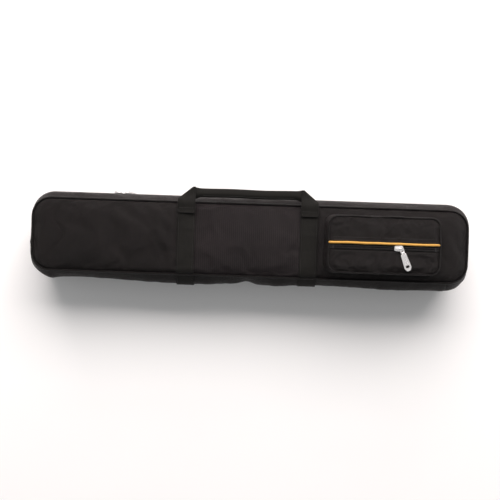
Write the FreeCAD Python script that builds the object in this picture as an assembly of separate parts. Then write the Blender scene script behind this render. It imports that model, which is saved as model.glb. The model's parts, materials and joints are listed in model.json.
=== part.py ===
"""Soft carry case for a small refracting telescope, lying on its back panel.

The case is a long padded clamshell: a deep tray and a shallower cover, joined by a plain fabric hinge
along the bottom long side and by a coil zip round the other three sides. The front carries a box pocket
with its own zip under a bright piping, two webbing straps and one webbing carry handle.

Units are millimetres. X runs along the case, Y from the hinge side to the handle side, Z up out of the
front panel. The outlines are drawn about the middle of the case, and BODY_SHIFT then moves the whole case
so that the origin is under the middle of its bounding box.
"""

import FreeCAD
import Part

import math
import os

Vector = FreeCAD.Vector

# Overall size, measured over the edge pipings
LENGTH = 750.0
HEIGHT = 128.0
CORNER_R = 34.0

# Heights above the surface the case lies on
STRAP_T = 1.6
BACK_Z = STRAP_T
WALL_LOW_Z = 6.2
ZIP_Z = 68.0
WALL_HIGH_Z = 90.9
FRONT_SEAM_Z = 93.0
FRONT_Z = 99.0
BACK_PIPING_Z = 4.1
BACK_PADDING_Z = (2.6, 5.4)
BACK_LINING_Z = (5.5, 6.0)
FRONT_LINING_Z = (91.0, 91.5)

# How far the side walls swell outwards at the height of the zip
SWELL_TOP = 11.0
SWELL_BOTTOM = 14.0
SWELL_END = 5.0

# Layers of a side wall, as distances in from the outline over the pipings
PIPING_R = 2.0
SKIN_IN = (2.0, 2.9)
TAPE_IN = (3.0, 3.5)
PADDING_IN = (3.6, 7.2)
LINING_IN = (7.3, 7.8)
COIL_IN = (0.5, 2.9)
SKIN_T = 0.9

# Flat layers of the front and back, as distances in from the outline
PANEL_IN = 4.2
FLAT_IN = 4.4

# Main zip: half widths measured from the zip's centre line
PARTING = 0.05
ZIP_SLOT = 0.7
COIL_W = 2.7
ZIP_OPENING = 6.5
TAPE_W = 12.5
HINGE_HALF = LENGTH / 2 - CORNER_R
MAIN_STOP = (0.4, 2.8)
MAIN_STOP_W = 3.0
MAIN_STOP_OUT = (0.05, 1.4)

# Heights at which the side walls' outline is drawn
TRAY_BREAKS = [WALL_LOW_Z, 18.0, 30.0, 42.0, 52.0, ZIP_Z - ZIP_OPENING]
COVER_BREAKS = [ZIP_Z + ZIP_OPENING, 80.0, 85.5, WALL_HIGH_Z]
WALL_BREAKS = TRAY_BREAKS + [ZIP_Z] + COVER_BREAKS

# Front panel: (height, distance in from the outline) of its padded edge
PANEL_EDGE = [(FRONT_SEAM_Z, PANEL_IN), (96.0, 6.2), (98.2, 9.0), (FRONT_Z, 13.0)]
PADDING_EDGE = [(91.6, 5.2), (94.9, 7.4), (97.1, 10.2), (98.0, 14.0)]

# Webbing straps and handle
STRAP_W = 30.0
STRAP_X = {"left": -109.5, "right": 100.5}
ANCHOR_Y = (43.0, 52.8)
WEB_LAYER = 0.05
SEAM_TUCK = 0.27
STRAP_TRIM = 0.8
HANDLE_REACH = 88.0
RISER_LINE = [
    (53.2, 101.5), (58.0, 102.6), (64.0, 102.4), (70.0, 101.2), (75.0, 100.4), (HANDLE_REACH, 100.4)
]
GRIP_Y = (71.0, 86.5)
GRIP_Z = (95.4, 99.55)
GRIP_FLARE = (6.5, -8.5)
FOLD_START_Y = 67.0
FOLD_RUN = 25.0
FOLD_TRIM = 5.0

# Pocket on the front panel
POCKET_X = 225.0
POCKET_Y = -1.0
POCKET_L = 190.0
POCKET_H = 97.0
POCKET_R = 17.0
POCKET_PIPING_R = 1.8
POCKET_WALL = [(99.05, 0.3), (110.0, 1.0), (119.8, 1.8)]
POCKET_SEAM_Z = 121.7
POCKET_Z = 125.0
POCKET_EDGE = [(POCKET_SEAM_Z, 3.8), (123.6, 5.6), (124.6, 8.5), (POCKET_Z, 12.0)]
POCKET_ZIP_Y = -5.8
POCKET_TAPE_Z = 123.2
POCKET_ZIP_HALF = 87.0
POCKET_COIL_HALF = 84.0
POCKET_ZIP_GAP = 0.2
POCKET_SEAM_ALLOWANCE = 3.0
POCKET_STOP = (0.2, 2.4)
POCKET_LOW_EDGE = -10.4
POCKET_HIGH_EDGE = 3.6
ACCENT_Y = 1.5
ACCENT_Z = 125.5
ACCENT_R = 2.0

# Zip sliders: places along X, and heights above the outer face of the zip tape
MAIN_SLIDER_X = {"left": -231.5, "right": -214.5}
POCKET_SLIDER_X = 248.4
PULL_HEADING = 21.75
PULL_TILT = 3.5
TAPE_T = 0.5
COIL_T = 2.4
PLATE_W = (2.7, 3.9)
KEEPER_W = (-1.8, -0.8)
FLANGE_W = 1.9
LINK_W = (4.1, 5.7)
BAIL_TOP_W = 7.2
BAIL_LEG = 4.0
BAR_P = 7.6
TAB_END = 31.8

# From the middle of the case to the middle of its bounding box
HINGE_REACH = HEIGHT / 2 - SKIN_IN[0] + SWELL_BOTTOM + STRAP_T
BODY_SHIFT = Vector(0, (HINGE_REACH - HANDLE_REACH) / 2, 0)


def rounded_outline(x_mid, x_half, y_low, y_high, radius, z):
    """Closed wire at height z: a rectangle whose corners are quarter circles."""
    left, right = x_mid - x_half, x_mid + x_half
    corners = [
        (right - radius, y_high - radius, 0),
        (left + radius, y_high - radius, 90),
        (left + radius, y_low + radius, 180),
        (right - radius, y_low + radius, 270),
    ]

    def on_corner(corner, turn):
        x, y, start = corner
        angle = math.radians(start + turn)
        return Vector(x + radius * math.cos(angle), y + radius * math.sin(angle), z)

    edges = []
    for i, corner in enumerate(corners):
        arc = Part.Arc(on_corner(corner, 0), on_corner(corner, 45), on_corner(corner, 90))
        edges.append(arc.toShape())
        following = corners[(i + 1) % 4]
        edges.append(Part.LineSegment(on_corner(corner, 90), on_corner(following, 0)).toShape())
    return Part.Wire(edges)


def swell(z):
    """Share of the full swelling at height z: a sine up to the upright band that holds the zip, made
    straight between the wall's break heights."""

    def smooth(height):
        if height <= ZIP_Z:
            share = (height - WALL_LOW_Z) / (ZIP_Z - ZIP_OPENING - WALL_LOW_Z)
        else:
            share = (WALL_HIGH_Z - height) / (WALL_HIGH_Z - ZIP_Z - ZIP_OPENING)
        return math.sin(min(1.0, max(0.0, share)) * math.pi / 2)

    for low, high in zip(WALL_BREAKS, WALL_BREAKS[1:]):
        if low <= z <= high:
            part = (z - low) / (high - low)
            return smooth(low) * (1 - part) + smooth(high) * part
    return 0.0


def wall_y(z, inset, side):
    """Y of the long side walls at height z, on the handle side (+1) or the hinge side (-1)."""
    reach = SWELL_TOP if side > 0 else SWELL_BOTTOM
    return side * (HEIGHT / 2 - inset + reach * swell(z))


def wall_outline(z, inset):
    """Outline of the side walls at height z, in from the outline over the pipings."""
    x_half = LENGTH / 2 - inset + SWELL_END * swell(z)
    radius = CORNER_R - inset + SWELL_END * swell(z)
    return rounded_outline(0, x_half, wall_y(z, inset, -1), wall_y(z, inset, 1), radius, z)


def loft(wires):
    return Part.makeLoft(wires, True, True)


def wall_levels(low, high):
    """The wall's break heights between low and high, with both ends."""
    return [low] + [z for z in WALL_BREAKS if low < z < high] + [high]


def wall_ring(low, high, insets):
    """A band of wall all round the case, between two distances in from the outline."""
    levels = wall_levels(low, high)
    outside = loft([wall_outline(z, insets[0]) for z in levels])
    inside = loft([wall_outline(z, insets[1]) for z in levels])
    return outside.cut(inside)


def block(x, y, z):
    """Box from three (low, high) pairs."""
    corner = Vector(x[0], y[0], z[0])
    return Part.makeBox(x[1] - x[0], y[1] - y[0], z[1] - z[0], corner)


def zip_sides(low, high):
    """The space round the case that the zip runs through: all of it but the straight hinge side."""
    around = block((-LENGTH, LENGTH), (-HEIGHT, HEIGHT), (low, high))
    return around.cut(block((-HINGE_HALF, HINGE_HALF), (-HEIGHT, 0), (low, high)))


def case_plate(low, high, inset):
    """Flat layer with the outline of the case."""
    corner = CORNER_R - inset
    outline = rounded_outline(0, LENGTH / 2 - inset, inset - HEIGHT / 2, HEIGHT / 2 - inset, corner, low)
    return Part.Face(outline).extrude(Vector(0, 0, high - low))


def case_pillow(edge, drop=0.0):
    """Solid under a panel with a padded edge, given as (height, inset) pairs."""
    return loft([
        rounded_outline(0, LENGTH / 2 - i, i - HEIGHT / 2, HEIGHT / 2 - i, CORNER_R - i, z - drop)
        for z, i in edge
    ])


def pocket_outline(z, inset):
    radius = POCKET_R - inset
    low, high = POCKET_Y - POCKET_H / 2 + inset, POCKET_Y + POCKET_H / 2 - inset
    return rounded_outline(POCKET_X, POCKET_L / 2 - inset, low, high, radius, z)


def piping(outline, radius):
    """Round cord round a closed outline."""
    start = outline.Edges[1]
    middle = start.valueAt((start.FirstParameter + start.LastParameter) / 2)
    along = start.tangentAt(start.FirstParameter)
    first = Part.LineSegment(middle, start.Vertexes[1].Point).toShape()
    last = Part.LineSegment(start.Vertexes[0].Point, middle).toShape()
    others = [outline.Edges[i % 8] for i in range(2, 9)]
    path = Part.Wire([first] + others + [last])
    circle = Part.Wire(Part.Circle(middle, along, radius).toShape())
    return path.makePipeShell([circle], True, False)


def ribbon(points, thickness, x_mid, width):
    """Webbing of even thickness on the left of a line in the YZ plane, cut to width along X."""
    directions = [(Vector(0, *b) - Vector(0, *a)).normalize() for a, b in zip(points, points[1:])]
    upper = []
    for i, point in enumerate(points):
        before = directions[max(i - 1, 0)]
        after = directions[min(i, len(directions) - 1)]
        across = (before + after).normalize()
        normal = Vector(0, -across.z, across.y)
        reach = thickness / max(0.2, before.dot(across))
        upper.append(Vector(0, *point) + normal * reach)
    lower = [Vector(0, *point) for point in points]
    corners = lower + upper[::-1]
    face = Part.Face(Part.makePolygon(corners + corners[:1]))
    solid = face.extrude(Vector(width, 0, 0))
    solid.translate(Vector(x_mid - width / 2, 0, 0))
    return solid


def prism(corners, low, high):
    """Upright solid over a polygon of (x, y) corners."""
    points = [Vector(x, y, low) for x, y in corners]
    return Part.Face(Part.makePolygon(points + points[:1])).extrude(Vector(0, 0, high - low))


def upright_edges(shape, wanted):
    """Edges parallel to Z whose (x, y) passes the test wanted."""
    found = []
    for edge in shape.Edges:
        a, b = edge.Vertexes[0].Point, edge.Vertexes[-1].Point
        if abs(a.x - b.x) < 1e-6 and abs(a.y - b.y) < 1e-6 and abs(a.z - b.z) > 1e-6 and wanted(a):
            found.append(edge)
    return found


# ---------------------------------------------------------------- tray and cover shells

def tray_parts():
    top = ZIP_Z - PARTING
    opening = zip_sides(ZIP_Z - ZIP_OPENING, ZIP_Z)
    parts = {
        "back_panel": case_plate(BACK_Z, BACK_Z + SKIN_T, PANEL_IN),
        "back_padding": case_plate(*BACK_PADDING_Z, FLAT_IN),
        "back_lining": case_plate(*BACK_LINING_Z, FLAT_IN),
        "back_piping": piping(wall_outline(BACK_PIPING_Z, PIPING_R), PIPING_R),
        "tray_gusset": wall_ring(WALL_LOW_Z, top, SKIN_IN).cut(opening),
        "tray_padding": wall_ring(WALL_LOW_Z, top, PADDING_IN).cut(opening),
        "tray_lining": wall_ring(WALL_LOW_Z, top, LINING_IN).cut(opening),
    }
    sides = zip_sides(0, ZIP_Z - ZIP_SLOT)
    parts["tray_zip_tape"] = wall_ring(ZIP_Z - TAPE_W, ZIP_Z - ZIP_SLOT, TAPE_IN).common(sides)
    coil_low = ZIP_Z - ZIP_SLOT - COIL_W
    parts["tray_zip_coil"] = wall_ring(coil_low, ZIP_Z - ZIP_SLOT, COIL_IN).common(sides)
    return parts


def cover_parts():
    bottom = ZIP_Z + PARTING
    opening = zip_sides(ZIP_Z, ZIP_Z + ZIP_OPENING)
    parts = {
        "front_panel": case_pillow(PANEL_EDGE).cut(case_pillow(PANEL_EDGE, SKIN_T)),
        "front_padding": case_pillow(PADDING_EDGE),
        "front_lining": case_plate(*FRONT_LINING_Z, FLAT_IN),
        "front_piping": piping(wall_outline(FRONT_SEAM_Z, PIPING_R), PIPING_R),
        "cover_gusset": wall_ring(bottom, WALL_HIGH_Z, SKIN_IN).cut(opening),
        "cover_padding": wall_ring(bottom, WALL_HIGH_Z, PADDING_IN).cut(opening),
        "cover_lining": wall_ring(bottom, WALL_HIGH_Z, LINING_IN).cut(opening),
    }
    sides = zip_sides(ZIP_Z + ZIP_SLOT, FRONT_Z)
    parts["cover_zip_tape"] = wall_ring(ZIP_Z + ZIP_SLOT, ZIP_Z + TAPE_W, TAPE_IN).common(sides)
    coil_high = ZIP_Z + ZIP_SLOT + COIL_W
    parts["cover_zip_coil"] = wall_ring(ZIP_Z + ZIP_SLOT, coil_high, COIL_IN).common(sides)
    return parts


def main_zip_stops():
    """Metal stops at the two ends of the main zip, on the tray's edge beside the hinge."""
    face = wall_y(ZIP_Z, SKIN_IN[0], -1)
    high = ZIP_Z - ZIP_SLOT
    near, far = HINGE_HALF - MAIN_STOP[0], HINGE_HALF - MAIN_STOP[1]
    out = (face - MAIN_STOP_OUT[1], face - MAIN_STOP_OUT[0])
    stops = [block(x, out, (high - MAIN_STOP_W, high)) for x in ((-near, -far), (far, near))]
    return {"main_zip_stops": Part.makeCompound(stops)}


# ---------------------------------------------------------------- webbing

def strap_parts():
    """Two webbing straps, each in four lengths: across the back, up the two halves of the hinge side and
    across the front panel, with every end caught in a seam. The handle's ends are sewn on over them."""
    parts = {}
    half = HEIGHT / 2 - PANEL_IN
    low = FRONT_Z + STRAP_T + WEB_LAYER
    seam, roll = PANEL_EDGE[0], PANEL_EDGE[1]
    tuck = tuple(a + (b - a) * SEAM_TUCK for a, b in zip(seam, roll))
    front = [(i - HEIGHT / 2, z) for z, i in [tuck] + PANEL_EDGE[1:]]
    front += [(-y, z) for y, z in reversed(front)]
    tray_levels = wall_levels(WALL_LOW_Z + STRAP_TRIM, ZIP_Z - PARTING)
    cover_levels = wall_levels(ZIP_Z + PARTING, WALL_HIGH_Z - STRAP_TRIM)
    tray_side = [(wall_y(z, SKIN_IN[0], -1), z) for z in tray_levels]
    cover_side = [(wall_y(z, SKIN_IN[0], -1), z) for z in cover_levels]
    for side, x in STRAP_X.items():
        width = (x - STRAP_W / 2, x + STRAP_W / 2)
        parts["back_strap_" + side] = block(width, (-half, half), (0, STRAP_T))
        parts["bottom_strap_tray_" + side] = ribbon(tray_side, STRAP_T, x, STRAP_W)
        parts["bottom_strap_cover_" + side] = ribbon(cover_side, STRAP_T, x, STRAP_W)
        parts["front_strap_" + side] = ribbon(front, STRAP_T, x, STRAP_W)
        parts["handle_anchor_" + side] = block(width, ANCHOR_Y, (low, low + STRAP_T))
    return parts


def handle_parts():
    """Carry handle: two risers whose ends fold over at 45 degrees, and the webbing grip folded in half."""
    parts = {}
    middle = (STRAP_X["left"] + STRAP_X["right"]) / 2
    below = [(y, z - STRAP_T / 2) for y, z in RISER_LINE]
    for side, x in STRAP_X.items():
        outward = -1 if side == "left" else 1
        edge = x + outward * STRAP_W / 2
        fold = prism(
            [
                (edge - outward, FOLD_START_Y - 1),
                (edge - outward * (FOLD_RUN + 1), HANDLE_REACH),
                (edge - outward * FOLD_RUN, HANDLE_REACH + FOLD_TRIM),
                (edge + outward * FOLD_TRIM, HANDLE_REACH + FOLD_TRIM),
                (edge + outward * FOLD_TRIM, FOLD_START_Y - 1),
            ],
            0,
            POCKET_Z,
        )
        parts["handle_riser_" + side] = ribbon(below, STRAP_T, x, STRAP_W).cut(fold)
    reach = STRAP_X["right"] - middle
    low, high = reach + GRIP_FLARE[0], reach + GRIP_FLARE[1]
    corners = [
        (middle - low, GRIP_Y[0]),
        (middle + low, GRIP_Y[0]),
        (middle + high, GRIP_Y[1]),
        (middle - high, GRIP_Y[1]),
    ]
    parts["handle_grip"] = prism(corners, *GRIP_Z)
    return parts


# ---------------------------------------------------------------- pocket

def pocket_parts():
    wall = loft([pocket_outline(z, i) for z, i in POCKET_WALL])
    hollow = loft([pocket_outline(z, i + SKIN_T) for z, i in POCKET_WALL])
    face = loft([pocket_outline(z, i) for z, i in POCKET_EDGE])
    face = face.cut(loft([pocket_outline(z - SKIN_T, i) for z, i in POCKET_EDGE]))
    zip_half = POCKET_ZIP_HALF + POCKET_ZIP_GAP
    zip_x = (POCKET_X - zip_half, POCKET_X + zip_half)
    face = face.cut(block(zip_x, (POCKET_LOW_EDGE, POCKET_HIGH_EDGE), (POCKET_SEAM_Z - 2, POCKET_Z + 1)))
    all_x = (POCKET_X - POCKET_L, POCKET_X + POCKET_L)
    all_z = (POCKET_SEAM_Z - 5, POCKET_Z + 5)
    parts = {
        "pocket_gusset": wall.cut(hollow),
        "pocket_face_upper": face.common(block(all_x, (POCKET_ZIP_Y + PARTING, HEIGHT), all_z)),
        "pocket_face_lower": face.common(block(all_x, (-HEIGHT, POCKET_ZIP_Y - PARTING), all_z)),
        "pocket_piping": piping(pocket_outline(POCKET_SEAM_Z, POCKET_PIPING_R), POCKET_PIPING_R),
    }
    start = Vector(POCKET_X - POCKET_ZIP_HALF, ACCENT_Y, ACCENT_Z)
    cord = Part.makeCylinder(ACCENT_R, 2 * POCKET_ZIP_HALF, start, Vector(1, 0, 0))
    parts["pocket_accent_piping"] = cord
    tape_x = (POCKET_X - POCKET_ZIP_HALF, POCKET_X + POCKET_ZIP_HALF)
    coil_x = (POCKET_X - POCKET_COIL_HALF, POCKET_X + POCKET_COIL_HALF)
    tape_z = (POCKET_TAPE_Z - TAPE_T, POCKET_TAPE_Z)
    coil_z = (POCKET_TAPE_Z + PARTING, POCKET_TAPE_Z + COIL_T)
    slot, edge = POCKET_ZIP_Y + ZIP_SLOT, POCKET_ZIP_Y - ZIP_SLOT
    low, high = POCKET_LOW_EDGE - POCKET_SEAM_ALLOWANCE, POCKET_HIGH_EDGE + POCKET_SEAM_ALLOWANCE
    parts["pocket_zip_tape_upper"] = block(tape_x, (slot, high), tape_z)
    parts["pocket_zip_tape_lower"] = block(tape_x, (low, edge), tape_z)
    parts["pocket_zip_coil_upper"] = block(coil_x, (slot, slot + COIL_W), coil_z)
    parts["pocket_zip_coil_lower"] = block(coil_x, (edge - COIL_W, edge), coil_z)
    stop_y = (edge - COIL_W, slot + COIL_W)
    near, far = POCKET_STOP
    stop_x = ((coil_x[0] - far, coil_x[0] - near), (coil_x[1] + near, coil_x[1] + far))
    stops = [block(x, stop_y, coil_z) for x in stop_x]
    parts["pocket_zip_stops"] = Part.makeCompound(stops)
    return parts


# ---------------------------------------------------------------- zip sliders
# Each is drawn with U (here X) along the zip, V (here Y) across it and W (here Z) out from the tape.

def slider_body(flange_sides):
    """Casting: outer plate, inner keeper plate, the nose post between the coil rows, and side flanges."""
    corners = [(-7, -3.4), (-5.6, -4.1), (4.6, -5), (7, -3.6), (7, 3.6), (4.6, 5), (-5.6, 4.1), (-7, 3.4)]
    plate = prism(corners, *PLATE_W)
    plate = plate.makeFillet(0.9, upright_edges(plate, lambda p: True))
    keeper = prism(corners, *KEEPER_W)
    keeper = keeper.makeFillet(0.9, upright_edges(keeper, lambda p: True))
    post = block((1.5, 5.5), (-0.5, 0.5), (KEEPER_W[1] - 0.1, PLATE_W[0] + 0.1))
    solid = plate.fuse([keeper, post])
    for side in flange_sides:
        foot = [(-5.4, side * 4.0), (4.2, side * 4.85), (4.2, side * 4.0), (-5.4, side * 3.7)]
        solid = solid.fuse(prism(foot, FLANGE_W, PLATE_W[0] + 0.1))
    return solid.removeSplitter()


def slider_bail(leg_side):
    """Bridge over the plate. Its leg on leg_side is the round post that the puller's link turns on."""
    base = PLATE_W[1]
    leg = Part.makeCylinder(0.8, BAIL_TOP_W - 1.1 - base, Vector(leg_side * BAIL_LEG, 0, base))
    far_x = sorted((-leg_side * 5.2, -leg_side * 3.8))
    far_leg = block(far_x, (-0.9, 0.9), (base, BAIL_TOP_W - 1.1))
    bar_x = sorted((-leg_side * 5.2, leg_side * 5.0))
    bar = block(bar_x, (-0.9, 0.9), (BAIL_TOP_W - 1.2, BAIL_TOP_W))
    bar = bar.makeFillet(0.35, [e for e in bar.Edges if e.BoundBox.ZMin > BAIL_TOP_W - 0.1])
    return bar.fuse([leg, far_leg]).removeSplitter()


def puller_link():
    """Open ring round the bail's leg at the origin, with a round crossbar at BAR_P along X."""
    plate = block((-2.7, BAR_P), (-3.4, 3.4), LINK_W)
    plate = plate.makeFillet(2.3, upright_edges(plate, lambda p: p.x < 0))
    window = block((-1.2, BAR_P + 1), (-2.0, 2.0), (LINK_W[0] - 1, LINK_W[1] + 1))
    bar = Part.makeCylinder(0.8, 6.8, Vector(BAR_P, -3.4, sum(LINK_W) / 2), Vector(0, 1, 0))
    return plate.cut(window).fuse(bar).removeSplitter()


def pull_tab():
    """Flat tab with a knuckle round the link's crossbar, a sunk panel and a lace hole near its end."""
    middle = sum(LINK_W) / 2
    bar = Vector(0, -1.8, middle)
    knuckle = Part.makeCylinder(1.65, 3.6, bar, Vector(0, 1, 0))
    neck = block((0, 2.6), (-1.8, 1.8), LINK_W)
    half_outline = [(1.9, 4.1), (3.4, 4.7), (26.5, 6.0), (TAB_END, 3.0)]
    corners = [(x, -y) for x, y in half_outline] + half_outline[::-1]
    plate = prism(corners, *LINK_W)
    plate = plate.makeFillet(2.4, upright_edges(plate, lambda p: p.x > 20))
    rims = [e for e in plate.Edges if e.BoundBox.ZLength < 1e-3]
    plate = plate.makeChamfer(0.3, rims)
    sunk = block((6.5, 18.5), (-2.7, 2.7), (LINK_W[1] - 0.35, LINK_W[1] + 1))
    sunk = sunk.makeFillet(1.2, upright_edges(sunk, lambda p: True))
    hole = block((22.2, 26.6), (-3.1, 3.1), (LINK_W[0] - 1, LINK_W[1] + 1))
    hole = hole.makeFillet(1.6, upright_edges(hole, lambda p: True))
    bore = Part.makeCylinder(0.9, 4.0, bar - Vector(0, 0.2, 0), Vector(0, 1, 0))
    solid = knuckle.fuse([neck, plate]).removeSplitter()
    return solid.cut(sunk).cut(hole).cut(bore)


def placed(shape, origin, out, turn=0.0, tilt=0.0, pivot=0.0, centre=Vector(0, 0, 0)):
    """Puts a slider piece on the case. tilt droops it about a crossbar at pivot, turn swings it about W at
    centre, and out is the direction that W takes on the case, with U along X."""
    shape = shape.copy()
    shape.rotate(Vector(0, 0, sum(LINK_W) / 2), Vector(0, 1, 0), tilt)
    shape.translate(Vector(pivot, 0, 0))
    shape.rotate(Vector(0, 0, 0), Vector(0, 0, 1), turn)
    shape.translate(centre)
    across = out.cross(Vector(1, 0, 0))
    frame = FreeCAD.Matrix(
        1, across.x, out.x, origin.x,
        0, across.y, out.y, origin.y,
        0, across.z, out.z, origin.z,
        0, 0, 0, 1,
    )
    return shape.transformShape(frame)


def slider_parts(name, origin, out, leg_side, flange_sides, heading, tilt):
    centre = Vector(leg_side * BAIL_LEG, 0, 0)
    return {
        name + "_slider_body": placed(slider_body(flange_sides), origin, out),
        name + "_slider_bail": placed(slider_bail(leg_side), origin, out),
        name + "_puller_link": placed(puller_link(), origin, out, turn=heading, centre=centre),
        name + "_pull_tab": placed(
            pull_tab(), origin, out, turn=heading, tilt=tilt, pivot=BAR_P, centre=centre
        ),
    }


def all_sliders():
    tape_y = wall_y(ZIP_Z, TAPE_IN[0], 1)
    parts = {}
    for side, leg_side in (("left", -1), ("right", 1)):
        origin = Vector(MAIN_SLIDER_X[side], tape_y, ZIP_Z)
        parts.update(slider_parts("main_" + side, origin, Vector(0, 1, 0), leg_side, [1], 90.0, 0.0))
    origin = Vector(POCKET_SLIDER_X, POCKET_ZIP_Y, POCKET_TAPE_Z)
    heading = PULL_HEADING - 90.0
    parts.update(slider_parts("pocket", origin, Vector(0, 0, 1), 1, [-1, 1], heading, PULL_TILT))
    return parts


GROUPS = [tray_parts, cover_parts, main_zip_stops, strap_parts, handle_parts, pocket_parts, all_sliders]


def main():
    parts = {}
    for make in GROUPS:
        parts.update(make())
    os.makedirs("parts", exist_ok=True)
    for name, shape in sorted(parts.items()):
        shape = shape.copy()
        shape.translate(BODY_SHIFT)
        print(name, len(shape.Solids), shape.isValid(), round(shape.Volume, 1))
        shape.exportStep("parts/" + name + ".step")


main()
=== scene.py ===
"""Looks of the telescope carry case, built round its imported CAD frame.

Lengths are in millimetres until a mesh is made, in the frame's own axes: X along the case, Y from the
fabric hinge to the carry handle, Z up out of the front panel.
"""

import json
import math

import bmesh
import bpy
import numpy as np
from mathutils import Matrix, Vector, noise
from mathutils.bvhtree import BVHTree


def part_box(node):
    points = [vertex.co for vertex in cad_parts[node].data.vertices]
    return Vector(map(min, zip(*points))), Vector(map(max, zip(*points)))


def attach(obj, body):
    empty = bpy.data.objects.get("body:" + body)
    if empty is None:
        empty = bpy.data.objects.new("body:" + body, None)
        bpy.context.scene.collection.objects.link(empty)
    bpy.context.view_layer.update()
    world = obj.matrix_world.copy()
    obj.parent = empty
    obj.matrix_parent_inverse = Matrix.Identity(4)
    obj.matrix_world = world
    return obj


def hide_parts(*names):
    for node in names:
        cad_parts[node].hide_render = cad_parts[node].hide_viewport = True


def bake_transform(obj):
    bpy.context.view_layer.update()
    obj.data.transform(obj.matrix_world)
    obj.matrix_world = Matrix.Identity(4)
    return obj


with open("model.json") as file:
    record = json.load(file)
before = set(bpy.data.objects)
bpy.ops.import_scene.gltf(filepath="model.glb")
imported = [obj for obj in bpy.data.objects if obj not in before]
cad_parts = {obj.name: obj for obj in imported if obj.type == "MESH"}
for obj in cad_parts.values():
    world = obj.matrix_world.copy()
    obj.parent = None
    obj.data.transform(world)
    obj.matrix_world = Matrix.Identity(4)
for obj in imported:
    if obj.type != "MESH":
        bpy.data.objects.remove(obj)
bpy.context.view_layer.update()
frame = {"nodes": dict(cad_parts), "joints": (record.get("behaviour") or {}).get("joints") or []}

MM = 0.001
UP = np.array((0.0, 0.0, 1.0))


def box_mm(node):
    low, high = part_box(node)
    return np.array(low) / MM, np.array(high) / MM


# Places read off the frame
FRONT_PIPING = box_mm("front_piping")
BACK_PIPING = box_mm("back_piping")
TRAY_WALL = box_mm("tray_gusset")
COVER_WALL = box_mm("cover_gusset")
TRAY_COIL = box_mm("tray_zip_coil")
COVER_COIL = box_mm("cover_zip_coil")
MID_Y = (FRONT_PIPING[0][1] + FRONT_PIPING[1][1]) / 2
HALF_L = FRONT_PIPING[1][0]
HALF_H = (FRONT_PIPING[1][1] - FRONT_PIPING[0][1]) / 2
PIPING_R = (FRONT_PIPING[1][2] - FRONT_PIPING[0][2]) / 2
FRONT_SEAM_Z = (FRONT_PIPING[0][2] + FRONT_PIPING[1][2]) / 2
BACK_SEAM_Z = (BACK_PIPING[0][2] + BACK_PIPING[1][2]) / 2
FRONT_Z = box_mm("front_panel")[1][2]
BACK_Z = box_mm("back_panel")[0][2]
ZIP_Z = (TRAY_COIL[1][2] + COVER_COIL[0][2]) / 2
WALL_LOW_Z, WALL_HIGH_Z = TRAY_WALL[0][2], COVER_WALL[1][2]
SKIN_INSET = 2.0
SWELL_END = TRAY_WALL[1][0] - HALF_L + SKIN_INSET
SWELL_LOW = MID_Y - HALF_H + SKIN_INSET - TRAY_WALL[0][1]
SWELL_HIGH = TRAY_WALL[1][1] - MID_Y - HALF_H + SKIN_INSET
HINGE = next(j for j in frame["joints"] if j["name"] == "cover_hinge")

# Sizes of what the frame holds as plain solids
CORNER_R = 34.0
ZIP_BAND = 6.5
SKIN_T = 0.9
WEB_W = 30.0
WEB_T = 1.6
CORE_R = 4.0
COIL_PITCH = 1.5
INNERMOST = HALF_H - CORE_R - 3
PANEL_INSET = 4.1
FRONT_SHOULDER = 20.0
BACK_SHOULDER = 9.0
TRAY_FLOOR_Z, TRAY_OUTER_Z = 6.0, 2.9
COVER_FLOOR_Z, COVER_OUTER_Z = 91.0, 94.2
LINING_RIM, LINING_HINGE = 0.9, 4.0


# ---- mesh helpers

def grid_faces(rows, columns, wrap_rows=False, wrap_columns=False):
    faces = []
    for r in range(rows if wrap_rows else rows - 1):
        for c in range(columns if wrap_columns else columns - 1):
            r2, c2 = (r + 1) % rows, (c + 1) % columns
            faces.append((r * columns + c, r * columns + c2, r2 * columns + c2, r2 * columns + c))
    return faces


def make_object(name, points, faces, uv=None):
    """Mesh object from points in millimetres. uv gives each corner of each face its place on the cloth."""
    mesh = bpy.data.meshes.new(name)
    mesh.from_pydata((np.asarray(points) * MM).tolist(), [], faces)
    if uv is not None:
        layer = mesh.uv_layers.new(name="cloth")
        layer.data.foreach_set("uv", (np.asarray(uv, float) * MM).reshape(-1))
    mesh.validate()
    mesh.shade_smooth()
    obj = bpy.data.objects.new(name, mesh)
    bpy.context.scene.collection.objects.link(obj)
    return obj


def sweep(name, sections, along=None, closed=False):
    """Solid through closed cross-sections, an array (sections, points, 3), at the distances along."""
    sections = np.asarray(sections, float)
    rows, columns = sections.shape[:2]
    if along is None:
        along = distances(sections.mean(1))
    around = np.append(0, np.cumsum(np.linalg.norm(np.roll(sections[0], -1, 0) - sections[0], axis=1)))
    faces = grid_faces(rows, columns, closed, True)
    step = along[-1] - along[-2]
    uv = []
    for r in range(rows if closed else rows - 1):
        u, u2 = along[r], along[r + 1] if r + 1 < rows else along[r] + step
        for c in range(columns):
            v, v2 = around[c], around[c + 1]
            uv += [(u, v), (u, v2), (u2, v2), (u2, v)]
    if not closed:
        for cap in (list(range(columns))[::-1], [(rows - 1) * columns + c for c in range(columns)]):
            faces.append(tuple(cap))
            uv += [(along[0], around[c % columns]) for c in cap]
    return outward(make_object(name, sections.reshape(-1, 3), faces, uv))


def outward(obj):
    """Turns every face of a closed piece outwards."""
    work = bmesh.new()
    work.from_mesh(obj.data)
    bmesh.ops.recalc_face_normals(work, faces=work.faces)
    work.to_mesh(obj.data)
    work.free()
    return obj


def distances(points):
    return np.append(0, np.cumsum(np.linalg.norm(np.diff(points, axis=0), axis=1)))


def tiled(vector, count):
    return np.tile(vector, (count, 1))


def unit(vectors):
    return vectors / np.maximum(np.linalg.norm(vectors, axis=-1, keepdims=True), 1e-9)


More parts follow.
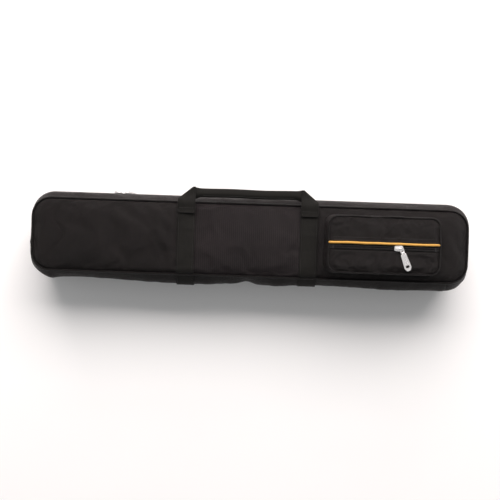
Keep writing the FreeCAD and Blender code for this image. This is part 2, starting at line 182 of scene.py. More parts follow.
def modify(obj, kind, **settings):
    """Adds one modifier and applies it."""
    modifier = obj.modifiers.new(kind.lower(), kind)
    for key, value in settings.items():
        setattr(modifier, key, value)
    graph = bpy.context.evaluated_depsgraph_get()
    mesh = bpy.data.meshes.new_from_object(obj.evaluated_get(graph))
    obj.modifiers.clear()
    old, obj.data = obj.data, mesh
    mesh.name = obj.name
    bpy.data.meshes.remove(old)
    return obj


def settle(obj, hold, slack, pressure, frames=22):
    """Cloth simulation of a panel over its foam. hold is each point's share of holding: 1 in a seam, and
    the foam's soft support elsewhere. The cloth is larger than its place by the share slack and puckers."""
    group = obj.vertex_groups.new(name="hold")
    for index, share in enumerate(hold):
        group.add([index], float(share), "REPLACE")
    modifier = obj.modifiers.new("settle", "CLOTH")
    modifier.settings.effector_weights.gravity = 0.0
    for key, value in dict(
        quality=6, mass=0.2, tension_stiffness=18, compression_stiffness=18, shear_stiffness=8,
        bending_stiffness=0.015, air_damping=3, vertex_group_mass="hold", shrink_min=-slack,
        use_pressure=True, uniform_pressure_force=pressure,
    ).items():
        setattr(modifier.settings, key, value)
    modifier.point_cache.frame_start = 1
    modifier.point_cache.frame_end = frames
    scene = bpy.context.scene
    for frame_number in range(1, frames + 1):
        scene.frame_set(frame_number)
    graph = bpy.context.evaluated_depsgraph_get()
    settled = bpy.data.meshes.new_from_object(obj.evaluated_get(graph))
    obj.modifiers.clear()
    obj.vertex_groups.clear()
    obj.data = settled
    scene.frame_set(1)
    return obj


def wander(x, y, size, seed):
    """Smooth noise from -1 to 1 with features of about size, for arrays of places."""
    x, y = np.broadcast_arrays(x, y)
    flat = [noise.noise((a / size, b / size, seed)) for a, b in zip(x.ravel(), y.ravel())]
    return np.array(flat).reshape(x.shape) * 1.6


def ease(value):
    t = np.clip(value, 0, 1)
    return t * t * (3 - 2 * t)


def finish_piece(obj, body, slot, material, *nodes):
    obj.data.materials.clear()
    for m in material if isinstance(material, list) else [material]:
        obj.data.materials.append(m)
    if isinstance(body, str):
        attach(obj, body)
    else:
        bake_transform(obj)
    if nodes:
        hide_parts(*nodes)
    return obj


# ---- outlines

class Outline:
    """Rounded rectangle walked from the right-hand end of its low side: round the right end, along the
    high side, round the left end, and last along the low side."""

    def __init__(self, centre, half_l, half_h, radius, step, arc_steps):
        self.centre, self.half_l, self.half_h, self.radius = np.array(centre), half_l, half_h, radius
        bx, by = half_l - radius, half_h - radius
        base, normal = [], []

        def arc(x, y, start):
            for k in range(arc_steps):
                angle = math.radians(start + 90 * k / arc_steps)
                base.append((x, y))
                normal.append((math.cos(angle), math.sin(angle)))

        def straight(a, b, n):
            count = max(2, round(math.dist(a, b) / step))
            for k in range(count):
                base.append((a[0] + (b[0] - a[0]) * k / count, a[1] + (b[1] - a[1]) * k / count))
                normal.append(n)

        arc(bx, -by, -90)
        straight((bx, -by), (bx, by), (1, 0))
        arc(bx, by, 0)
        self.turn = len(base)
        straight((bx, by), (-bx, by), (0, 1))
        arc(-bx, by, 90)
        straight((-bx, by), (-bx, -by), (-1, 0))
        arc(-bx, -by, 180)
        self.low_start = len(base)
        straight((-bx, -by), (bx, -by), (0, -1))
        self.base, self.normal = np.array(base), np.array(normal)
        self.count = len(base)
        edge = self.loop(0, 0)
        self.along = distances(np.vstack([edge, edge[:1]]))
        self.round_zip = list(range(self.low_start + 1))
        self.low_side = [k % self.count for k in range(self.low_start, self.count + 1)]

    def loop(self, z, inset, swell=(0.0, 0.0, 0.0)):
        """Points at height z, in from the outline, swollen by (ends, low side, high side)."""
        end, low, high = swell
        core = max(self.radius - inset, CORE_R)
        half_x, half_y = self.half_l - self.radius, self.half_h - self.radius
        x = self.base[:, 0] / half_x * (self.half_l - inset - core)
        share = self.base[:, 1] / half_y
        y = share * (self.half_h - inset - core) + np.where(share > 0, high - end, low - end) * share
        points = np.column_stack([x, y, np.full(len(x), float(z))])
        points[:, :2] += self.normal * (core + end) + self.centre
        return points

    def flat_normal(self):
        """Outward directions of the outline, level."""
        return np.column_stack([self.normal, np.zeros(self.count)])

    def close(self, offset):
        """Faces that fill an inner loop, whose first point has index offset, from side to side."""
        start = self.turn // 2
        faces = []
        for k in range(start, start + self.count // 2):
            ring = [k, k + 1, self.turn - k - 1, self.turn - k]
            ring = [i % self.count + offset for i in ring]
            ring = [i for n, i in enumerate(ring) if i not in ring[:n]]
            if len(ring) > 2:
                faces.append(tuple(ring))
        return faces


CASE = Outline((0, MID_Y), HALF_L, HALF_H, CORNER_R, 5.0, 12)


def swell_share(z):
    """Share of the walls' swelling at height z: a sine up to the upright band that holds the zip."""
    below = (z - WALL_LOW_Z) / (ZIP_Z - ZIP_BAND - WALL_LOW_Z)
    above = (WALL_HIGH_Z - z) / (WALL_HIGH_Z - ZIP_Z - ZIP_BAND)
    return math.sin(min(1.0, max(0.0, below if z < ZIP_Z else above)) * math.pi / 2)


# Slack of the hinge side: (place along X, how far it stands out, half width)
LOW_SIDE_SLACK = [
    (-120, 3.0, 70), (-2, -4.0, 12), (60, 1.6, 40), (150, -1.5, 60), (255, 2.2, 50), (-300, -3.0, 60),
]
HIGH_SIDE_SLACK = [(-260, 1.2, 60), (-60, -0.8, 50), (60, 1.0, 50), (240, -1.4, 60)]


def wall_ripple(z):
    """How far the side walls' fabric stands out at height z, all round: wrinkles between the seams."""
    along = CASE.along[:-1]
    x = CASE.base[:, 0]
    low = CASE.normal[:, 1] < -0.5
    high = CASE.normal[:, 1] > 0.5
    from_zip = abs(z - ZIP_Z) - ZIP_BAND
    from_seam = (WALL_HIGH_Z - z) if z > ZIP_Z else (z - WALL_LOW_Z)
    free = ease(from_seam / 9) * np.where(low, 1.0, ease(from_zip / 7))
    folds = wander(along, z * 1.6, 24, 3.1) * 0.9 + wander(along, z * 0.8, 60, 7.7) * 1.0
    fine = wander(along, z * 2.2, 9, 5.2) * 0.28
    gather = wander(along, 0, 7, 9.3) * 0.4 * math.exp(-abs(from_seam) / 5)
    slack = np.zeros(len(x))
    for places, side in ((LOW_SIDE_SLACK, low), (HIGH_SIDE_SLACK, high)):
        for place, amount, width in places:
            slack += side * amount * np.exp(-((x - place) / width) ** 2)
    ends = ease((HALF_L - CORNER_R - abs(x)) / 20 + 0.2)
    return free * (folds + fine + slack * swell_share(z) * ends) + gather * (from_seam > 0)


def case_loop(z, inset, ripple=1.0):
    """Points of the side walls at height z, with their swelling and a share of their wrinkles."""
    share = swell_share(z)
    points = CASE.loop(z, inset, (SWELL_END * share, SWELL_LOW * share, SWELL_HIGH * share))
    points[:, :2] += CASE.normal * wall_ripple(z)[:, None] * ripple
    return points


def band(name, where, section):
    """Strip of wall along stations of the case, from its closed cross-section of (height, inset) pairs."""
    loops = np.array([case_loop(z, inset) for z, inset in section])
    return sweep(name, loops[:, where].transpose(1, 0, 2), CASE.along[where[0]:where[0] + len(where)])


def spread(low, high, step):
    count = max(1, round(abs(high - low) / step))
    return [low + (high - low) * k / count for k in range(count + 1)]


# ---- materials

class Graph:
    """Short way to write a material's nodes."""

    def __init__(self, name):
        self.material = bpy.data.materials.new(name)
        self.material.use_nodes = True
        self.nodes = self.material.node_tree.nodes
        self.links = self.material.node_tree.links
        self.shader = next(n for n in self.nodes if n.type == "BSDF_PRINCIPLED")
        self.place = self.node("TexCoord", output=3)

    def even(self, name, value):
        """One value over the whole surface, on the shader itself."""
        self.shader.inputs[name].default_value = value

    def varied(self, name, value):
        """A value that nodes work out, on the shader."""
        self.links.new(value, self.shader.inputs[name])

    def on_cloth(self):
        """Place along and across the cloth."""
        split = self.nodes.new("ShaderNodeSeparateXYZ")
        self.links.new(self.node("UVMap", uv_map="cloth"), split.inputs[0])
        return split.outputs[0], split.outputs[1]

    def put(self, socket, value):
        if isinstance(value, bpy.types.NodeSocket):
            self.links.new(value, socket)
        else:
            socket.default_value = value

    def node(self, kind, inputs=(), output=0, **settings):
        made = self.nodes.new("ShaderNode" + kind)
        for key, value in settings.items():
            setattr(made, key, value)
        for key, value in dict(inputs).items():
            self.put(made.inputs[key], value)
        return made.outputs[output]

    def math(self, operation, a, b=0.0, c=0.0):
        return self.node("Math", {0: a, 1: b, 2: c}, operation=operation)

    def mix(self, share, a, b):
        return self.node("Mix", {0: share, 6: a, 7: b}, output=2, data_type="RGBA")

    def noise(self, scale, detail=3.0, place=None):
        return self.node("TexNoise", {"Vector": place or self.place, "Scale": scale, "Detail": detail})

    def wave(self, value, period):
        """Sine from 0 to 1 of the given period in metres."""
        turned = self.math("MULTIPLY", value, 2 * math.pi / period)
        return self.math("MULTIPLY_ADD", self.math("SINE", turned), 0.5, 0.5)

    def bump(self, height, distance):
        return self.node("Bump", {"Height": height, "Distance": distance, "Strength": 1.0})


def rgb(colour):
    return (*colour, 1.0)


def cloth(name, dark, light, yarn=0.0011, roughness=0.42, sheen=0.02, ribs=0.0, twill=False, wear=0.0):
    """Woven cloth: crossed yarns of the given spacing in metres, soft colour changes and rubbed places."""
    g = Graph(name)
    u, v = g.on_cloth()
    if twill:
        u = g.math("ADD", u, v)
    crossed = g.math("ABSOLUTE", g.math("SUBTRACT", g.wave(u, yarn), g.wave(v, yarn * 0.9)))
    fine = g.noise(900.0, 2.0)
    shade = g.math("MULTIPLY", g.math("MULTIPLY_ADD", g.noise(14.0, 4.0), 1.3, -0.25), 0.55)
    shade = g.math("ADD", shade, g.math("MULTIPLY", crossed, 0.22))
    shade = g.math("ADD", shade, g.math("MULTIPLY", fine, 0.22))
    if ribs:
        shade = g.math("ADD", shade, g.math("MULTIPLY_ADD", g.wave(u, ribs), 0.8, -0.4))
    worn = g.math("MULTIPLY", g.math("SUBTRACT", g.noise(60.0, 6.0), 0.58), 4.0 * wear)
    worn = g.node("Clamp", {0: worn, 1: 0.0, 2: 0.5})
    rubbed = tuple(min(1.0, c * 1.9 + 0.006) for c in light)
    g.varied("Base Color", g.mix(worn, g.mix(shade, rgb(dark), rgb(light)), rgb(rubbed)))
    g.varied("Roughness", g.math("MULTIPLY_ADD", fine, 0.16, roughness - 0.08))
    g.even("Sheen Weight", sheen)
    g.even("Sheen Roughness", 0.45)
    g.even("Specular IOR Level", 0.19)
    g.varied("Normal", g.bump(g.math("ADD", crossed, g.math("MULTIPLY", fine, 0.5)), 0.0003))
    return g.material


# Spacing of the webbing's cords and of the steps of its weft, in metres
CORD = 0.0021
WEFT = 0.0016


def webbing(name, dark, light):
    """Flat webbing: cords along its length, each crossed by small steps of weft."""
    g = Graph(name)
    u, v = g.on_cloth()
    odd = g.math("GREATER_THAN", g.wave(v, 2 * CORD), 0.5)
    steps = g.wave(g.math("MULTIPLY_ADD", odd, WEFT / 2, u), WEFT)
    weave = g.math("POWER", g.wave(v, CORD), 0.6)
    weave = g.math("MULTIPLY", weave, g.math("MULTIPLY_ADD", steps, 0.5, 0.5))
    fine = g.noise(1100.0, 2.0)
    shade = g.math("ADD", g.math("MULTIPLY", weave, 0.5), g.math("MULTIPLY", g.noise(22.0, 4.0), 0.5))
    g.varied("Base Color", g.mix(shade, rgb(dark), rgb(light)))
    g.varied("Roughness", g.math("MULTIPLY_ADD", fine, 0.2, 0.55))
    g.even("Sheen Weight", 0.03)
    g.even("Specular IOR Level", 0.16)
    g.varied("Normal", g.bump(g.math("ADD", weave, g.math("MULTIPLY", fine, 0.3)), 0.00035))
    return g.material


def nylon(name, dark, light, roughness):
    """Moulded or drawn nylon and sewing thread: a fine grain and a satin gloss."""
    g = Graph(name)
    grain = g.noise(700.0, 3.0)
    g.varied("Base Color", g.mix(grain, rgb(dark), rgb(light)))
    g.varied("Roughness", g.math("MULTIPLY_ADD", grain, 0.2, roughness - 0.1))
    g.varied("Normal", g.bump(grain, 0.00005))
    return g.material


def nickel(name):
    """Bright plated die-casting, with a soft ripple and fine handling scratches."""
    g = Graph(name)
    g.even("Metallic", 0.7)
    ripple = g.noise(160.0, 2.0)
    scratch = g.noise(1500.0, 4.0, g.node("Mapping", {0: g.place, 3: (1.0, 5.0, 1.0)}))
    rubbed = g.node("ValToRGB", {0: scratch})
    ramp = rubbed.node.color_ramp
    ramp.elements[0].position, ramp.elements[1].position = 0.52, 0.72
    g.varied("Base Color", g.mix(ripple, rgb((0.93, 0.92, 0.92)), rgb((1.0, 0.99, 0.98))))
    g.varied("Roughness", g.math("MULTIPLY_ADD", rubbed, 0.14, 0.24))
    g.varied("Normal", g.bump(g.math("ADD", ripple, g.math("MULTIPLY", scratch, 0.2)), 0.00006))
    return g.material


SHELL = cloth("shell_nylon", (0.0018, 0.0009, 0.0009), (0.0060, 0.0034, 0.0032))
# The front between the straps: the same nylon painted lighter, a painted sheen, with ribs of its weave.
SHELL_MIDDLE_PAINTED_SHEEN = cloth("shell_nylon_middle_painted_sheen", (0.0026, 0.0015, 0.0018), (0.0170, 0.0114, 0.0124), ribs=0.0034)
# Same nylon as SHELL, painted lighter for the walls round the zip: the lighter colour is painted light, and
# the hinge side keeps the darker SHELL as painted shade.
WALL_CLOTH_PAINTED_LIGHT = cloth("shell_nylon_wall_painted_light", (0.0036, 0.0021, 0.0021), (0.0094, 0.0058, 0.0056))
PIPING_CLOTH = cloth(
    "piping_cloth", (0.0026, 0.0018, 0.0018), (0.0070, 0.0052, 0.0050), yarn=0.0009, twill=True, wear=1.0
)
ACCENT_CLOTH = cloth(
    "accent_cloth", (0.62, 0.31, 0.05), (0.86, 0.50, 0.13), yarn=0.0009, roughness=0.5, sheen=0.1, twill=True
)
TAPE_CLOTH = cloth(
    "zip_tape_cloth", (0.0034, 0.0026, 0.0026), (0.0080, 0.0066, 0.0064), yarn=0.0014, twill=True
)
LINING_CLOTH = cloth(
    "lining_cloth", (0.020, 0.020, 0.021), (0.045, 0.044, 0.046), yarn=0.0008, roughness=0.85, sheen=0.5
)
WEBBING = webbing("webbing_weave", (0.0026, 0.0023, 0.0018), (0.0108, 0.0098, 0.0082))
THREAD = nylon("sewing_thread", (0.0050, 0.0044, 0.0044), (0.0150, 0.0130, 0.0130), 0.55)
COIL_NYLON = nylon("coil_nylon", (0.010, 0.009, 0.009), (0.022, 0.020, 0.020), 0.38)
METAL = nickel("bright_nickel")


# ---- stitching

SEAMS = {"tray": [], "cover": [], "handle": [], "hinge": []}


def sew(group, points, normals):
    """Notes a line of stitches on a surface: points and the surface's outward directions there."""
    SEAMS[group].append((np.asarray(points, float), unit(np.asarray(normals, float))))


def between(along, rows, place):
    """Rows of (x, y, z) at the distances along, read at another place or places."""
    return np.stack([np.interp(place, along, rows[:, i]) for i in range(3)], axis=-1)


def stitch_mesh(name, lines, length=3.1, gap=0.8, radius=0.3):
    """One capsule of thread per stitch, dipping into the cloth at both ends."""
    points, faces = [], []
    sides = 6
    shape = [(0.0, -0.25, 0.4), (0.22, 0.12, 1.0), (0.78, 0.12, 1.0), (1.0, -0.25, 0.4)]
    for line, normals in lines:
        along = distances(line)
        count = int(along[-1] / (length + gap))
        for k in range(count):
            start = (k + 0.5) * along[-1] / count - length / 2
            first = len(points)
            ends = [between(along, line, start + t) for t in (0, length)]
            out = unit(between(along, normals, start + length / 2))
            ahead = unit(ends[1] - ends[0])
            side = unit(np.cross(out, ahead))
            for t, lift, size in shape:
                middle = ends[0] * (1 - t) + ends[1] * t + out * lift
                for n in range(sides):
                    angle = 2 * math.pi * n / sides
                    points.append(middle + (side * math.cos(angle) + out * math.sin(angle)) * radius * size)
            for r in range(len(shape) - 1):
                for n in range(sides):
                    a, b = first + r * sides + n, first + r * sides + (n + 1) % sides
                    faces.append((a, b, b + sides, a + sides))
            faces.append(tuple(first + n for n in range(sides))[::-1])
            faces.append(tuple(first + (len(shape) - 1) * sides + n for n in range(sides)))
    return make_object(name, points, faces)


def wall_line(z, where, inset=SKIN_INSET):
    """A seam's line on the side walls at height z, with the surface's direction."""
    loop, above, below = case_loop(z, inset), case_loop(z + 1, inset), case_loop(z - 1, inset)
    along = unit(np.roll(loop, -1, 0) - np.roll(loop, 1, 0))
    normal = unit(np.cross(along, above - below))
    return loop[where], normal[where]


# ---- padded panels

# Soft creases pressed into the front: (from, to, depth, width)
CREASES = [
    ((-172, 14), (-138, -40), 2.0, 5.0),
    ((-150, 18), (-130, -14), 0.9, 5.0),
    ((-240, -12), (-196, -44), 0.9, 8.0),
    ((-10, -2), (14, -40), 0.9, 5.0),
    ((-68, 34), (-40, 6), 0.6, 6.0),
    ((-330, 26), (-262, 4), 0.8, 9.0),
    ((343, 24), (362, -18), 0.9, 6.0),
]
STRAPS = {side: (box_mm("front_strap_" + side)[0][0] + WEB_W / 2) for side in ("left", "right")}


def crease(x, y, start, end, depth, width):
    """A groove between two places, with a soft shoulder beside it."""
    a, b = np.array(start, float), np.array(end, float)
    length = np.linalg.norm(b - a)
    ahead = (b - a) / length
    along = (x - a[0]) * ahead[0] + (y - a[1]) * ahead[1]
    off = (x - a[0]) * ahead[1] - (y - a[1]) * ahead[0]
    off = off + 1.5 * np.sin(along / length * 5)
    fade = ease(along / (0.35 * length)) * ease((length - along) / (0.35 * length))
    return fade * depth * (0.6 * np.exp(-((off - 1.4 * width) / width) ** 2) - np.exp(-(off / width) ** 2))


def front_relief(points, inset):
    """Height that the front cloth adds to its plain padded shape."""
    x, y = points[:, 0], points[:, 1] - MID_Y
    inner = ease((inset - 5) / 14)
    relief = 0.80 * wander(x, y, 70, 1.2) + 0.50 * wander(x, y, 25, 4.4) + 0.14 * wander(x, y, 9, 6.1)
    relief = inner * relief
    for start, end, depth, width in CREASES:
        relief = relief + inner * crease(x, y, start, end, depth, width)
    for place in STRAPS.values():
        relief = relief - 0.9 * inner * (1 - ease((abs(x - place) - 13) / 9))
    pucker = wander(CASE.along[:-1], inset, 6.5, 2.2) + 0.6 * wander(CASE.along[:-1], inset, 17, 8.4)
    return relief + 0.42 * pucker * math.exp(-((inset - 9) / 6.0) ** 2)


def padded_panel(name, shoulder, seam_z, flat_z, relief, step=4.5):
    """Cloth panel over padding: a round shoulder along the seam, then a soft middle. Works downwards too."""
    rise = flat_z - seam_z
    insets = [PANEL_INSET + shoulder * (1 - math.cos(t)) for t in spread(0, math.pi / 2, math.pi / 18)]
    insets += spread(insets[-1], INNERMOST, step)[1:]
    loops = []
    for inset in insets:
        t = min(1.0, (inset - PANEL_INSET) / shoulder)
        loop = CASE.loop(seam_z + rise * math.sqrt(1 - (1 - t) ** 2), inset)
        loop[:, 2] += math.copysign(1, rise) * relief(loop, inset)
        loops.append(loop)
    points = np.concatenate(loops)
    faces = grid_faces(len(loops), CASE.count, wrap_columns=True)
    faces += CASE.close((len(loops) - 1) * CASE.count)
    if rise < 0:
        faces = [f[::-1] for f in faces]
    uv = [points[i][:2] for f in faces for i in f]
    return make_object(name, points, faces, uv)


def thicken(obj):
    return modify(obj, "SOLIDIFY", thickness=SKIN_T * MM, offset=-1, use_even_offset=False)


def front_panel():
    obj = padded_panel("front_panel_cloth", FRONT_SHOULDER, FRONT_SEAM_Z, FRONT_Z, front_relief)
    places = np.array([v.co for v in obj.data.vertices]) / MM
    hold = np.full(len(places), 0.025)
    hold[:2 * CASE.count] = 1.0
    for place in STRAPS.values():
        hold[abs(places[:, 0] - place) < WEB_W / 2 - 1] = 1.0
    thicken(settle(obj, hold, 0.008, 0.25))
    finish_piece(obj, "cover", "shell_fabric", [SHELL, SHELL_MIDDLE_PAINTED_SHEEN], "front_panel")
    # Faces between the straps take the lighter copy, whose extra lightness is a painted sheen.
    for face in obj.data.polygons:
        face.material_index = int(STRAPS["left"] < face.center.x / MM < STRAPS["right"])
    return obj


def back_panel():
    def relief(points, inset):
        x, y = points[:, 0], points[:, 1]
        return -0.5 - 0.3 * abs(wander(x, y, 60, 11.0)) * ease((inset - 5) / 10)

    obj = thicken(padded_panel("back_panel_cloth", BACK_SHOULDER, BACK_SEAM_Z, BACK_Z, relief, step=6.0))
    finish_piece(obj, "tray", "shell_fabric", SHELL, "back_panel")
    return obj


def tube(name, path, across, radius, sides=10, closed=True, along=None, join=None):
    """Cord in an uneven cloth cover, along a path. Its ends overlap in a lump nearest the place join."""
    count = len(path)
    if along is None:
        along = distances(path)
    uneven = 1 + 0.05 * wander(along, 0, 5, 3.3) + 0.04 * wander(along, 0, 1.9, 6.6)
    if join:
        nearest = np.argmin(np.hypot(path[:, 0] - join[0], path[:, 1] - join[1]))
        lump = np.exp(-(((along - along[nearest]) / 5) ** 4))
        uneven = uneven + 0.3 * lump
        path = path + across * lump[:, None] * radius * 0.3
    sections = []
    for k in range(count):
        ring = []
        for n in range(sides):
            angle = 2 * math.pi * n / sides
            r = radius * uneven[k]
            ring.append(path[k] + across[k] * math.cos(angle) * r + UP * math.sin(angle) * r)
        sections.append(ring)
    return sweep(name, sections, along, closed)


def case_piping(name, z, body, node, join):
    """Piping round a panel: a cord in a bias strip, drawn slightly in and out by its seam."""
    path = CASE.loop(z, PIPING_R)
    drift = 0.5 * wander(CASE.along[:-1], 0, 60, z) + 0.25 * wander(CASE.along[:-1], 0, 22, z + 5)
    path[:, :2] += CASE.normal * drift[:, None] * 0.8
    path[:, 2] += 0.4 * wander(CASE.along[:-1], 0, 45, z + 9)
    obj = tube(name, path, CASE.flat_normal(), PIPING_R, along=CASE.along[:-1], join=join)
    return finish_piece(obj, body, "edge_piping", PIPING_CLOTH, node)


# ---- side walls and hinge

def cloth_section(low, high, inset, hem_low, hem_high, step=4.0):
    """Closed section of a strip of cloth between two heights, folded softly where it is hemmed."""
    outer = [(z, inset) for z in spread(low, high, step)]
    inner = [(z, inset + SKIN_T) for z in spread(high, low, step)]
    fold = 0.5
    top = [(high + fold * 0.8, inset + 0.15), (high + fold, inset + SKIN_T * 0.6)] if hem_high else []
    bottom = [(low - fold, inset + SKIN_T * 0.6), (low - fold * 0.8, inset + 0.15)] if hem_low else []
    return outer + top + inner + bottom


def side_walls():
    tray_edge, cover_edge = ZIP_Z - ZIP_BAND, ZIP_Z + ZIP_BAND
    low, high = WALL_LOW_Z - 1.2, WALL_HIGH_Z + 1.0
    # The walls round the zip take the nylon painted lighter (painted light); the hinge side takes the darker
    # SHELL (painted shade).
    section = cloth_section(low, tray_edge, SKIN_INSET, False, True)
    tray = band("tray_wall_cloth", CASE.round_zip, section)
    finish_piece(tray, "tray", "shell_fabric", WALL_CLOTH_PAINTED_LIGHT, "tray_gusset")
    section = cloth_section(cover_edge, high, SKIN_INSET, True, False, 2.4)
    cover = band("cover_wall_cloth", CASE.round_zip, section)
    finish_piece(cover, "cover", "shell_fabric", WALL_CLOTH_PAINTED_LIGHT, "cover_gusset")
    section = cloth_section(low, high, SKIN_INSET, False, False, 1.5)
    hinge = band("hinge_wall_cloth", CASE.low_side, section)
    axis = Vector(HINGE["pos_m"])
    bend = ("tray", "cover", axis - Vector((0, 0, 3 * MM)), axis + Vector((0, 0, 3 * MM)))
    finish_piece(hinge, bend, "shell_fabric", SHELL)
    sew("tray", *wall_line(tray_edge - 1.6, CASE.round_zip))
    sew("cover", *wall_line(cover_edge + 1.6, CASE.round_zip))
    return bend


def zip_tapes():
    for body, low, high in (("tray", ZIP_Z - 12.5, ZIP_Z - 0.9), ("cover", ZIP_Z + 0.9, ZIP_Z + 12.5)):
        section = [(z, 3.0) for z in spread(low, high, 3.0)] + [(z, 3.5) for z in spread(high, low, 3.0)]
        obj = band(body + "_zip_tape_cloth", CASE.round_zip, section)
        finish_piece(obj, body, "zip_tape", TAPE_CLOTH, body + "_zip_tape")


def coil(name, path, out, across, pitch, reach, height, phase, wire=0.36):
    """Zip coil: a flattened helix of nylon wire along a path. across points to the tape's edge."""
    along = distances(path)
    per_turn = 10
    places = np.linspace(0, along[-1], int(along[-1] / pitch * per_turn))
    centre = between(along, path, places)
    normal = unit(between(along, out, places))
    angle = 2 * math.pi * (places / pitch + phase)
    flat = np.sign(np.cos(angle)) * abs(np.cos(angle)) ** 0.7
    line = centre + across * (flat * (reach / 2 - wire))[:, None]
    line = line + normal * (np.sin(angle) * (height / 2 - wire))[:, None]
    ahead = unit(np.gradient(line, axis=0))
    side = unit(np.cross(ahead, normal + across * 0.3))
    over = np.cross(side, ahead)
    ring = [(1, 0), (0, 1), (-1, 0), (0, -1)]
    sections = np.stack([line + side * a * wire + over * b * wire for a, b in ring], axis=1)
    return sweep(name, sections, places)


def main_coils():
    out = CASE.flat_normal()[CASE.round_zip]
    for body, sign, phase in (("tray", -1, 0.0), ("cover", 1, 0.5)):
        far, near = 3.4 * sign, -0.05 * sign
        loop = case_loop(ZIP_Z + (far + near) / 2, 1.7)[CASE.round_zip]
        obj = coil(body + "_coil_turns", loop, out, -UP * sign, COIL_PITCH, abs(far - near), 2.4, phase)
        finish_piece(obj, body, "zip_coil", COIL_NYLON, body + "_zip_coil")


# ---- padded linings

def lining(name, floor_z, rim_z, hinge_z, outer_z, body, *nodes):
    """Padding with its lining: a tub whose soft wall rises from the floor to a rounded rim at the zip."""
    up = math.copysign(1, rim_z - floor_z)
    floor = [(floor_z, i) for i in spread(INNERMOST, 14, 6.0)]
    curve = [(floor_z + up * 0.3, 11.0), (floor_z + up * 1.4, 8.9), (floor_z + up * 3.5, 7.9)]
    wall = [(z, 7.8) for z in spread(floor_z + up * 6, rim_z - up * 5, 5.0)]
    rim = [(rim_z - up * fall, inset) for fall, inset in ((2.6, 7.5), (0.9, 6.6), (0.15, 5.3), (0.6, 4.1))]
    back = [(z, 3.7) for z in spread(rim_z - up * 2, floor_z - up * 1.0, 6.0)]
    under = [(outer_z + up * 2.4, 5.5)] + [(outer_z, i) for i in spread(10, INNERMOST, 12.0)]
    rows = floor + curve + wall + rim + back + under
    low_side = CASE.normal[:, 1] < -0.5
    ramp = low_side * ease((HALF_L - CORNER_R + 12 - abs(CASE.base[:, 0])) / 12)
    loops = []
    for z, inset in rows:
        loop = case_loop(z, inset, ripple=1.0 if inset < 6 else 0.6)
        soft = 0.45 * wander(CASE.along[:-1], z, 40, floor_z) * (inset < 9)
        loop[:, :2] += CASE.normal * (soft * ease(abs(z - outer_z) / 8 - 0.4))[:, None]
        if inset > 9 and z == floor_z:
            loop[:, 2] += up * (0.25 + 0.25 * wander(loop[:, 0], loop[:, 1], 50, floor_z + 2))
        near_rim = ease(1 - abs(z - rim_z) / 14)
        loop[:, 2] += (hinge_z - rim_z) * near_rim * ramp
        loops.append(loop)
    points = np.concatenate(loops)
    faces = grid_faces(len(loops), CASE.count, wrap_columns=True)
    faces += [f[::-1] for f in CASE.close(0)] + CASE.close((len(loops) - 1) * CASE.count)
    far = np.cumsum([0] + [math.dist(a, b) for a, b in zip(rows, rows[1:])])
    uv = []
    for f in faces:
        flat = all(rows[i // CASE.count][1] > 9 for i in f)
        for i in f:
            r, c = divmod(i, CASE.count)
            last = c == 0 and max(k % CASE.count for k in f) == CASE.count - 1
            uv.append(points[i][:2] if flat else (CASE.along[-1] if last else CASE.along[c], far[r]))
    obj = outward(make_object(name, points, faces, uv))
    finish_piece(obj, body, "lining", LINING_CLOTH, *nodes)
    return obj


# ---- webbing

def web_section(centre, side, normal):
    """Closed section of webbing lying on centre, with rounded selvedges."""
    half, soft = WEB_W / 2, WEB_W / 2 - 0.35
    top = [(-half, 0.55), (-soft, 0.95), (-half * 0.6, 1.0), (0, 1.0), (half * 0.6, 1.0), (soft, 0.95)]
    bottom = [(half, 0.55), (half, 0.35), (soft, 0.0), (0, 0.0), (-soft, 0.0), (-half, 0.35)]
    return [centre + side * a + normal * b * WEB_T for a, b in top + bottom]


def web_strip(name, centres, sides, normals):
    centres = np.asarray(centres, float)
    along = distances(centres)
    drift = 0.25 * wander(along, 0, 30, len(name))
    strip = zip(centres, unit(sides), unit(normals), drift)
    return sweep(name, [web_section(c + s * d, s, n) for c, s, n, d in strip], along)


def strap_edges(group, centres, sides, normals, trim):
    """Two lines of stitches along a strap, near its edges, short of its ends by trim points."""
    for sign in (-1, 1):
        line = centres + sides * sign * (WEB_W / 2 - 2.4) + normals * WEB_T
        sew(group, line[trim:-trim], normals[trim:-trim])


ACROSS = np.array((1.0, 0.0, 0.0))


def front_strap(side, x, panel_tree):
    """The strap's length down the front, lying on the settled cloth."""
    centres, sides = [], []
    for y in np.array(spread(HALF_H - 4.4, -HALF_H + 4.4, 2.5)) + MID_Y:
        left, middle, right = [drop(panel_tree, x + dx, y) for dx in (-13, 0, 13)]
        centre = (left + right) / 2
        centre[2] = max(centre[2], middle[2]) + 0.05
        centres.append(centre)
        sides.append(right - left)
    centres, sides = np.array(centres), unit(np.array(sides))
    normals = unit(np.cross(sides, -np.gradient(centres, axis=0)))
    normals *= np.sign(normals[:, 2:])
    front = web_strip("front_strap_web_" + side, centres, sides, normals)
    finish_piece(front, "cover", "webbing", WEBBING, "front_strap_" + side)
    strap_edges("cover", centres, sides, normals, 2)


def bottom_strap(side, x, bend):
    """The strap's length down the hinge side, across the fold where the case opens."""
    wall = []
    for z in spread(WALL_HIGH_Z + 0.4, WALL_LOW_Z - 0.6, 1.6):
        loop = case_loop(z, SKIN_INSET)[CASE.low_side]
        reach = [np.interp(x + dx, loop[:, 0], loop[:, 1]) for dx in (-13, 0, 13)]
        wall.append((x, min(reach[1], (reach[0] + reach[2]) / 2) - 0.08, z))
    wall = np.array(wall)
    sides = tiled(ACROSS, len(wall))
    normals = unit(np.cross(np.gradient(wall, axis=0), sides))
    normals *= -np.sign(normals[:, 1:2])
    low = web_strip("bottom_strap_web_" + side, wall, sides, normals)
    nodes = ("bottom_strap_tray_" + side, "bottom_strap_cover_" + side)
    finish_piece(low, bend, "webbing", WEBBING, *nodes)
    strap_edges("hinge", wall, sides, normals, 3)


